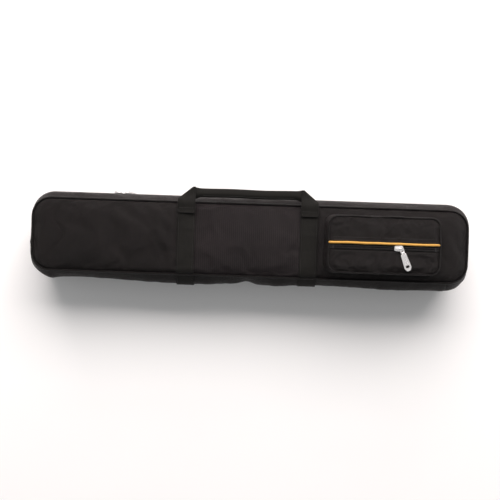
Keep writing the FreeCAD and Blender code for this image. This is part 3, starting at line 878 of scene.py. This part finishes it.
def back_strap(side, x):
    ys = np.array(spread(HALF_H - 5, -HALF_H + 5, 6)) + MID_Y
    flat = np.column_stack([np.full(len(ys), x), ys, np.full(len(ys), WEB_T + 0.05)])
    back = web_strip("back_strap_web_" + side, flat, tiled(ACROSS, len(ys)), tiled(-UP, len(ys)))
    finish_piece(back, "tray", "webbing", WEBBING, "back_strap_" + side)


def straps(panel_tree, bend):
    for side, x in STRAPS.items():
        front_strap(side, x, panel_tree)
        bottom_strap(side, x, bend)
        back_strap(side, x)


def drop(tree, x, y):
    """The point where a plumb line at (x, y) meets a surface, in millimetres."""
    hit = tree.ray_cast(Vector((x * MM, y * MM, 1.0)), Vector((0, 0, -1)))[0]
    return np.array(hit) / MM


def tree_of(obj):
    return BVHTree.FromObject(obj, bpy.context.evaluated_depsgraph_get())


# ---- carry handle

RISER_END_Y = box_mm("handle_riser_left")[1][1]
ANCHOR_Y = box_mm("handle_anchor_left")[0][1] - 0.6
GRIP = box_mm("handle_grip")
FOLD_Y = 67.0 + MID_Y
FOLD_RUN = 25.0
BAR_ROWS = (44.6, 51.2)
# Line of a riser from its stitching up to the grip: places along Y and the heights of its top
RISER_Y = np.array([43.0, 48.0, 53.2, 58.0, 64.0, 70.0, 75.0, 88.2]) + MID_Y
RISER_Z = np.array([101.45, 101.45, 101.6, 102.6, 102.4, 101.2, 100.5, 100.3]) - WEB_T / 2
SWING = next(j for j in frame["joints"] if j["name"] == "handle_swing")


def riser_section(y, away):
    """Cross-section of a riser at y. Past FOLD_Y its outer edge is folded under, along a slanting line."""
    folded = max(0.0, y - FOLD_Y)
    cut = folded * FOLD_RUN / (RISER_END_Y - FOLD_Y)
    inner, outer = -away * WEB_W / 2, away * (WEB_W / 2 - cut)
    deep = ease(folded / 2) * (WEB_T + 0.5)
    lip = outer - away * min(5.0, (WEB_W - cut) * 0.5)
    return [
        (inner, 0.5 * WEB_T), (inner + away * 0.4, 0.95 * WEB_T), (inner * 0.4 + outer * 0.6, WEB_T),
        (outer - away * 0.7, WEB_T), (outer, 0.55 * WEB_T - deep * 0.3),
        (outer - away * 0.1, 0.4 * WEB_T - deep * 0.7), (outer - away * 0.8, -deep),
        (lip, -deep), (lip - away * 0.6, -deep * 0.5), (lip - away * 0.8, 0.0),
        (inner + away * 0.4, 0.0), (inner, 0.35 * WEB_T),
    ]


def riser(side, x, away, bend):
    ys = np.array(spread(ANCHOR_Y, RISER_END_Y, 1.5))
    zs = np.interp(ys, RISER_Y, RISER_Z)
    zs = np.convolve(np.pad(zs, 2, mode="edge"), np.ones(5) / 5, mode="valid")
    centres = np.column_stack([np.full(len(ys), x), ys, zs])
    normals = unit(np.cross(tiled(ACROSS, len(ys)), unit(np.gradient(centres, axis=0))))
    sections = []
    for y, centre, normal in zip(ys, centres, normals):
        sections.append([centre + ACROSS * a + normal * b for a, b in riser_section(y, away)])
    obj = sweep("handle_riser_web_" + side, sections, distances(centres))
    finish_piece(obj, bend, "webbing", WEBBING, "handle_riser_" + side, "handle_anchor_" + side)
    top = centres + normals * WEB_T
    for y in BAR_ROWS:
        row = int(np.argmin(abs(ys - y - MID_Y)))
        across = np.array([top[row] + ACROSS * dx for dx in spread(-13, 13, 2)])
        sew("cover", across, tiled(UP, len(across)))
    rows = [r for r in range(len(ys)) if ys[r] < BAR_ROWS[1] + MID_Y]
    for sign in (-1, 1):
        sew("cover", top[rows] + ACROSS * sign * 12.6, normals[rows])


def grip():
    """Webbing folded in half along its length, flaring at both ends into the risers' folds."""
    middle = (STRAPS["left"] + STRAPS["right"]) / 2
    reach = STRAPS["right"] - middle
    low_y, high_y = GRIP[0][1], GRIP[1][1]
    top_z, thick = GRIP[1][2], GRIP[1][2] - GRIP[0][2]
    sections, line = [], []
    for x in spread(-reach - 14.5, reach + 14.5, 2.0):
        out = abs(x) - (reach - WEB_W / 2)
        flare = ease((out + 9) / 11)
        fold_y = FOLD_Y + (reach + WEB_W / 2 - abs(x)) * (RISER_END_Y - FOLD_Y) / FOLD_RUN
        y0 = low_y - flare * (low_y - FOLD_Y - 0.3)
        y1 = high_y + flare * 1.2
        if out > 0:
            y1 = min(high_y + flare * (RISER_END_Y - high_y - 0.3), fold_y)
        y1 = max(y1, y0 + 1.2)
        sag = 0.35 * math.sin(x / 17) + 0.5 * (1 - (x / reach) ** 2)
        z1 = top_z - 0.05 - flare * 0.25
        t = thick * (1 - flare) + (WEB_T + 0.2) * flare
        slit = (t - 2 * WEB_T * 0.92) if flare < 0.5 else 0.0
        slit = max(0.12, slit) * (1 - flare)
        leaf = (t - slit) / 2
        mid_y, mid_z = (y0 + y1) / 2, z1 - t / 2
        shape = [(y0, z1), (mid_y, z1)]
        for a in range(90, -91, -30):
            turn = math.radians(a)
            shape.append((y1 - t * 0.45 + t * 0.45 * math.cos(turn), mid_z + t / 2 * math.sin(turn)))
        shape += [(mid_y, z1 - t), (y0 + 0.5, z1 - t), (y0 + 0.3, z1 - t + leaf * 0.9)]
        shape += [(y1 - t, mid_z - slit / 2), (y1 - t, mid_z + slit / 2), (y0, z1 - leaf)]
        sections.append([np.array((x + middle, y - sag, z - sag * 0.4)) for y, z in shape])
        if abs(x) < reach - 26:
            first, second = sections[-1][:2]
            line.append((first[0], first[1] + 2.6, (first[2] + second[2]) / 2))
    obj = sweep("handle_grip_web", sections)
    finish_piece(obj, "handle", "webbing", WEBBING, "handle_grip")
    sew("handle", line, tiled(UP, len(line)))


def handle():
    pivot = Vector(SWING["pos_m"])
    bend = ("cover", "handle", pivot - Vector((0, 2.2 * MM, 0)), pivot + Vector((0, 2.2 * MM, 0)))
    riser("left", STRAPS["left"], -1, bend)
    riser("right", STRAPS["right"], 1, bend)
    grip()


# ---- pocket

POCKET_PIPING = box_mm("pocket_piping")
POCKET_R = (POCKET_PIPING[1][2] - POCKET_PIPING[0][2]) / 2
POCKET_SEAM_Z = (POCKET_PIPING[0][2] + POCKET_PIPING[1][2]) / 2
POCKET_MID = (POCKET_PIPING[0] + POCKET_PIPING[1])[:2] / 2
POCKET_HALF = (POCKET_PIPING[1] - POCKET_PIPING[0])[:2] / 2
POCKET_CORNER = 17.0
POCKET = Outline(POCKET_MID, POCKET_HALF[0], POCKET_HALF[1], POCKET_CORNER, 3.5, 9)
POCKET_FACE_Z = box_mm("pocket_face_upper")[1][2]
ACCENT = box_mm("pocket_accent_piping")
POCKET_COILS = {side: box_mm("pocket_zip_coil_" + side) for side in ("lower", "upper")}
POCKET_TAPES = {side: box_mm("pocket_zip_tape_" + side) for side in ("lower", "upper")}
POCKET_JOIN = (213.0, POCKET_MID[1] - POCKET_HALF[1])
POCKET_EDGE = 3.2
POCKET_ROLL = 11.0
LOWER_HEM = POCKET_COILS["lower"][0][1] - 1.3
UPPER_HEM = ACCENT[1][1] - 0.2

POCKET_CREASES = [
    ((283, 20), (309, 34), 0.9, 4.0),
    ((141, 22), (168, 31), 0.7, 4.0),
    ((196, 33), (236, 26), 0.6, 5.0),
    ((140, -28), (158, -46), 0.9, 4.0),
    ((226, -46), (244, -30), 0.6, 4.5),
    ((296, -44), (310, -28), 0.7, 4.0),
]


def pocket_inset(x, y):
    """Distance in from the pocket's outline."""
    qx = abs(x - POCKET_MID[0]) - POCKET_HALF[0] + POCKET_CORNER
    qy = abs(y - POCKET_MID[1]) - POCKET_HALF[1] + POCKET_CORNER
    beyond = np.hypot(np.maximum(qx, 0), np.maximum(qy, 0))
    return POCKET_CORNER - beyond - np.minimum(np.maximum(qx, qy), 0)


def pocket_roll(x, y):
    """Share of its full height that the pocket's face has reached."""
    t = np.clip((pocket_inset(x, y) - POCKET_EDGE) / POCKET_ROLL, 0, 1)
    return np.sqrt(1 - (1 - t) ** 2)


def pocket_wall(panel_tree):
    """Side wall of the pocket, splayed at its foot, where it is sewn to the front panel."""
    left = ease(-POCKET.normal[:, 0] + 0.2)
    flare = 3.2 + 2.8 * left
    along = POCKET.along[:-1]
    foot = POCKET.loop(0, POCKET_R)
    foot[:, :2] += POCKET.normal * flare[:, None]
    foot_z = np.array([drop(panel_tree, x, y)[2] - 0.45 for x, y, _ in foot])
    top_z = POCKET_SEAM_Z - 0.3
    shares = np.linspace(0, 1, 11)
    loops = []
    for depth, order in ((0.0, shares), (SKIN_T, shares[::-1])):
        for t in order:
            loop = POCKET.loop(0, POCKET_R + 0.2 + depth)
            fold = 0.9 * wander(along, t * 14, 17, 2.9) + 0.5 * wander(along, t * 10, 7, 8.2)
            out = flare * (1 - t) ** 1.7 + math.sin(math.pi * t) * (fold + 0.8)
            loop[:, :2] += POCKET.normal * out[:, None]
            loop[:, 2] = foot_z + (top_z - foot_z) * t
            loops.append(loop)
    obj = sweep("pocket_wall_cloth", np.array(loops).transpose(1, 0, 2), along, closed=True)
    # The pocket's wall takes the wall nylon painted lighter: painted light.
    return finish_piece(obj, "cover", "shell_fabric", WALL_CLOTH_PAINTED_LIGHT, "pocket_gusset")


def pocket_face_z(x, y, hem):
    """Height of the pocket's face, with its crown, wrinkles and doubled hem."""
    roll = pocket_roll(x, y)
    z = POCKET_SEAM_Z + (POCKET_FACE_Z - POCKET_SEAM_Z) * roll
    inner = ease((pocket_inset(x, y) - 5) / 12)
    away = ease((abs(y - hem) - 5) / 16)
    z = z + inner * away * (1.1 + 0.55 * wander(x, y, 34, 12.1) + 0.35 * wander(x, y, 13, 15.8))
    for start, end, depth, width in POCKET_CREASES:
        z = z + inner * crease(x, y, start, end, depth, width)
    along = x + y
    z = z + 0.30 * wander(along, y - x, 6, 19.5) * np.exp(-((pocket_inset(x, y) - 8) / 5.0) ** 2)
    return z + 0.35 * ease((7.5 - abs(y - hem)) / 1.5) * roll


def pocket_face(name, hem, side, node):
    """Half of the pocket's face, from its zip hem out to the piping."""
    rolled = [POCKET_EDGE + POCKET_ROLL * (1 - math.cos(a)) for a in spread(0, math.pi / 2, math.pi / 20)]
    half = POCKET_HALF[0]
    ends = rolled + spread(rolled[-1], half, 2.6)[1:]
    xs = POCKET_MID[0] + np.array([i - half for i in ends] + [half - i for i in ends[-2::-1]])
    core = POCKET_CORNER - POCKET_EDGE
    full = POCKET_HALF[1] - POCKET_EDGE
    qx = np.maximum(abs(xs - POCKET_MID[0]) - half + POCKET_CORNER, 0)
    reach = POCKET_HALF[1] - POCKET_CORNER + np.sqrt(np.maximum(core ** 2 - qx ** 2, 0))
    rim = POCKET_MID[1] + side * reach
    middle_span = abs(POCKET_MID[1] + side * full - hem)
    outer = [i - POCKET_EDGE for i in rolled]
    steps = outer + spread(outer[-1], middle_span - 1.6, 2.4)[1:] + [middle_span - 0.7, middle_span]
    points = []
    for step in steps:
        share = step / middle_span
        ys = rim + (hem - rim) * share
        points += list(np.column_stack([xs, ys, pocket_face_z(xs, ys, hem)]))
    points = np.array(points)
    points[-len(xs):, 2] -= 0.45
    faces = grid_faces(len(steps), len(xs))
    if side > 0:
        faces = [f[::-1] for f in faces]
    uv = [points[i][:2] for f in faces for i in f]
    obj = make_object(name, points, faces, uv)
    hold = np.full((len(steps), len(xs)), 0.04)
    hold[:2] = hold[-4:] = hold[:, :2] = hold[:, -2:] = 1.0
    thicken(settle(obj, hold.ravel(), 0.014, 0.35))
    finish_piece(obj, "cover", "shell_fabric", SHELL, node)
    return obj


def pocket_span(trim, step):
    """Places along the pocket, short of its outline by trim."""
    half = POCKET_HALF[0] - trim
    return np.array(spread(POCKET_MID[0] - half, POCKET_MID[0] + half, step))


def pocket_faces():
    for name, hem, side, node, rows in (
        ("pocket_lower_cloth", LOWER_HEM, -1, "pocket_face_lower", (2.2,)),
        ("pocket_upper_cloth", UPPER_HEM, 1, "pocket_face_upper", (2.0, 7.4)),
    ):
        face_tree = tree_of(pocket_face(name, hem, side, node))
        for off in rows:
            line = np.array([drop(face_tree, x, hem + side * off) for x in pocket_span(8, 3)])
            sew("cover", line, tiled(UP, len(line)))


def pocket_cords():
    along = POCKET.along[:-1]
    path = POCKET.loop(POCKET_SEAM_Z, POCKET_R)
    drift = 0.7 * wander(along, 0, 38, 4.4) + 0.3 * wander(along, 0, 12, 2.4)
    path[:, :2] += POCKET.normal * drift[:, None]
    path[:, 2] += 0.35 * wander(along, 0, 30, 9.9)
    cord = tube("pocket_piping_cord", path, POCKET.flat_normal(), POCKET_R, along=along, join=POCKET_JOIN)
    finish_piece(cord, "cover", "edge_piping", PIPING_CLOTH, "pocket_piping")
    xs = pocket_span(1.6, 1.6)
    _, y, high = (ACCENT[0] + ACCENT[1]) / 2
    rise = (high - POCKET_SEAM_Z) * pocket_roll(xs, y) + 0.2 * wander(xs, 0, 21, 5.9)
    line = np.column_stack([xs, y + 0.35 * wander(xs, 0, 26, 3.7), POCKET_SEAM_Z + rise])
    across = tiled((0.0, 1.0, 0.0), len(xs))
    accent = tube("pocket_accent_cord", line, across, (ACCENT[1][2] - ACCENT[0][2]) / 2, 12, False)
    finish_piece(accent, "cover", "accent_piping", ACCENT_CLOTH, "pocket_accent_piping")


def pocket_zip(side, inner):
    """One tape of the pocket's zip with its coil. Both dip towards the pocket's ends."""
    low, high = POCKET_TAPES[side]
    xs = pocket_span(3, 3)
    dip = 1 - pocket_roll(xs, POCKET_MID[1])
    sections = []
    for x, fall in zip(xs, dip * (low[2] - POCKET_SEAM_Z + 0.6)):
        top = [(x, y, high[2] - fall) for y in spread(low[1], high[1], 2)]
        sections.append(top + [(x, y, low[2] - fall) for _, y, _ in top[::-1]])
    tape = sweep("pocket_tape_" + side, sections, xs)
    finish_piece(tape, "cover", "zip_tape", TAPE_CLOTH, "pocket_zip_tape_" + side)
    low, high = POCKET_COILS[side]
    closing = (POCKET_COILS["lower"][1][1] + POCKET_COILS["upper"][0][1]) / 2
    near, far = closing - inner * 0.05, (low if inner < 0 else high)[1]
    heights = (low[2] + high[2]) / 2 - dip * (low[2] - POCKET_SEAM_Z)
    path = np.column_stack([xs, np.full(len(xs), (near + far) / 2), heights])
    across, reach, height = np.array((0.0, float(inner), 0.0)), abs(near - far), high[2] - low[2]
    up = tiled(UP, len(xs))
    turns = coil("pocket_coil_" + side, path, up, across, COIL_PITCH, reach, height, 0.25 * inner)
    finish_piece(turns, "cover", "zip_coil", COIL_NYLON, "pocket_zip_coil_" + side)


def pocket():
    pocket_wall(PANEL_TREE)
    pocket_faces()
    pocket_cords()
    pocket_zip("lower", -1)
    pocket_zip("upper", 1)


# ---- seams between wall and hinge, and metal

def hinge_seams():
    for index in (CASE.low_start, CASE.count):
        x = CASE.base[index % CASE.count][0]
        for dx in (-2.6, 2.6):
            inner = abs(x + dx) < abs(x)
            for body, low, high in (
                ("tray", WALL_LOW_Z + 3, ZIP_Z - 12), ("cover", ZIP_Z + 12, WALL_HIGH_Z - 2),
            ):
                line = []
                for z in spread(low, high, 3):
                    loop = case_loop(z, SKIN_INSET)
                    near = np.argsort(abs(loop[:, 0] - x - dx) + 1000 * (CASE.normal[:, 1] > -0.5))[:2]
                    near = near[np.argsort(loop[near, 0])]
                    line.append((x + dx, np.interp(x + dx, loop[near, 0], loop[near, 1]), z))
                sew("hinge" if inner else body, line, tiled((0.0, -1.0, 0.0), len(line)))


def metalwork():
    """Sliders, bails, links, pulls and stops keep their CAD shape."""
    words = ("slider_body", "slider_bail", "puller_link", "pull_tab", "zip_stops")
    for name, node in frame["nodes"].items():
        if any(word in name for word in words):
            node.data.materials.clear()
            node.data.materials.append(COIL_NYLON if name == "pocket_zip_stops" else METAL)


# ---- the case

PANEL_TREE = tree_of(front_panel())
back_panel()
case_piping("front_piping_cord", FRONT_SEAM_Z, "cover", "front_piping", (-HALF_L, MID_Y - 14))
case_piping("back_piping_cord", BACK_SEAM_Z, "tray", "back_piping", (HALF_L, MID_Y - 10))
HINGE_BEND = side_walls()
zip_tapes()
main_coils()
lining(
    "tray_padded_lining", TRAY_FLOOR_Z, ZIP_Z - LINING_RIM, ZIP_Z - LINING_HINGE, TRAY_OUTER_Z, "tray",
    "tray_padding", "tray_lining", "back_padding", "back_lining",
)
lining(
    "cover_padded_lining", COVER_FLOOR_Z, ZIP_Z + LINING_RIM, ZIP_Z + LINING_HINGE, COVER_OUTER_Z, "cover",
    "cover_padding", "cover_lining", "front_padding", "front_lining",
)
straps(PANEL_TREE, HINGE_BEND)
handle()
pocket()
hinge_seams()
for group, lines in SEAMS.items():
    stitches = stitch_mesh(group + "_stitches", lines)
    finish_piece(stitches, HINGE_BEND if group == "hinge" else group, "shell_fabric", THREAD)
metalwork()


# ---- studio, in metres

FLOOR_HALF = 6.0
# Area lights: (name, place, size, power in watts, colour)
LIGHTS = (
    ("key", (0.3, 2.6, 2.3), (4.4, 2.0), 210, (1.0, 0.94, 0.92)),
    ("edge", (-0.1, 1.1, 0.4), (1.5, 0.3), 10, (1.0, 0.90, 0.88)),
    ("fill", (-0.3, -2.6, 1.6), (3.4, 1.2), 3, (0.96, 0.98, 1.0)),
)
SKY_STRENGTH = 0.37
CAMERA_Z = 1.299
CAMERA_TILT = 1.97
CAMERA_SHIFT = (0.00043, -0.0167)


def studio():
    floor_mesh = bpy.data.meshes.new("floor")
    corners = [(x * FLOOR_HALF, y * FLOOR_HALF, 0) for x, y in ((-1, -1), (1, -1), (1, 1), (-1, 1))]
    floor_mesh.from_pydata(corners, [], [(0, 1, 2, 3)])
    floor = bpy.data.objects.new("floor", floor_mesh)
    bpy.context.scene.collection.objects.link(floor)
    g = Graph("studio_floor")
    g.varied("Base Color", g.mix(g.noise(3.0), rgb((0.88, 0.88, 0.88)), rgb((0.92, 0.92, 0.92))))
    g.even("Roughness", 0.9)
    floor_mesh.materials.append(g.material)
    for name, place, size, power, colour in LIGHTS:
        light = bpy.data.lights.new(name, "AREA")
        light.shape = "RECTANGLE"
        light.size, light.size_y = size
        light.energy = power
        light.color = colour
        obj = bpy.data.objects.new(name, light)
        obj.location = place
        obj.rotation_euler = (-Vector(place)).to_track_quat("-Z", "Y").to_euler()
        bpy.context.scene.collection.objects.link(obj)
    world = bpy.data.worlds.new("studio")
    world.use_nodes = True
    background = next(n for n in world.node_tree.nodes if n.type == "BACKGROUND")
    background.inputs["Color"].default_value = (1.0, 1.0, 1.0, 1.0)
    background.inputs["Strength"].default_value = SKY_STRENGTH
    bpy.context.scene.world = world


def camera():
    """Straight above the case, turned a little, and moved by CAMERA_SHIFT across and up the picture."""
    tilt = math.radians(CAMERA_TILT)
    right = Vector((math.cos(tilt), math.sin(tilt), 0))
    up = Vector((-math.sin(tilt), math.cos(tilt), 0))
    lens = bpy.data.cameras.new("camera")
    lens.lens, lens.sensor_width = 50.7, 36.0
    obj = bpy.data.objects.new("camera", lens)
    obj.location = Vector((0, MID_Y * MM, CAMERA_Z)) + right * CAMERA_SHIFT[0] + up * CAMERA_SHIFT[1]
    obj.rotation_euler = (0, 0, tilt)
    bpy.context.scene.collection.objects.link(obj)
    bpy.context.scene.camera = obj


studio()
camera()
bpy.context.scene.view_settings.view_transform = "Standard"
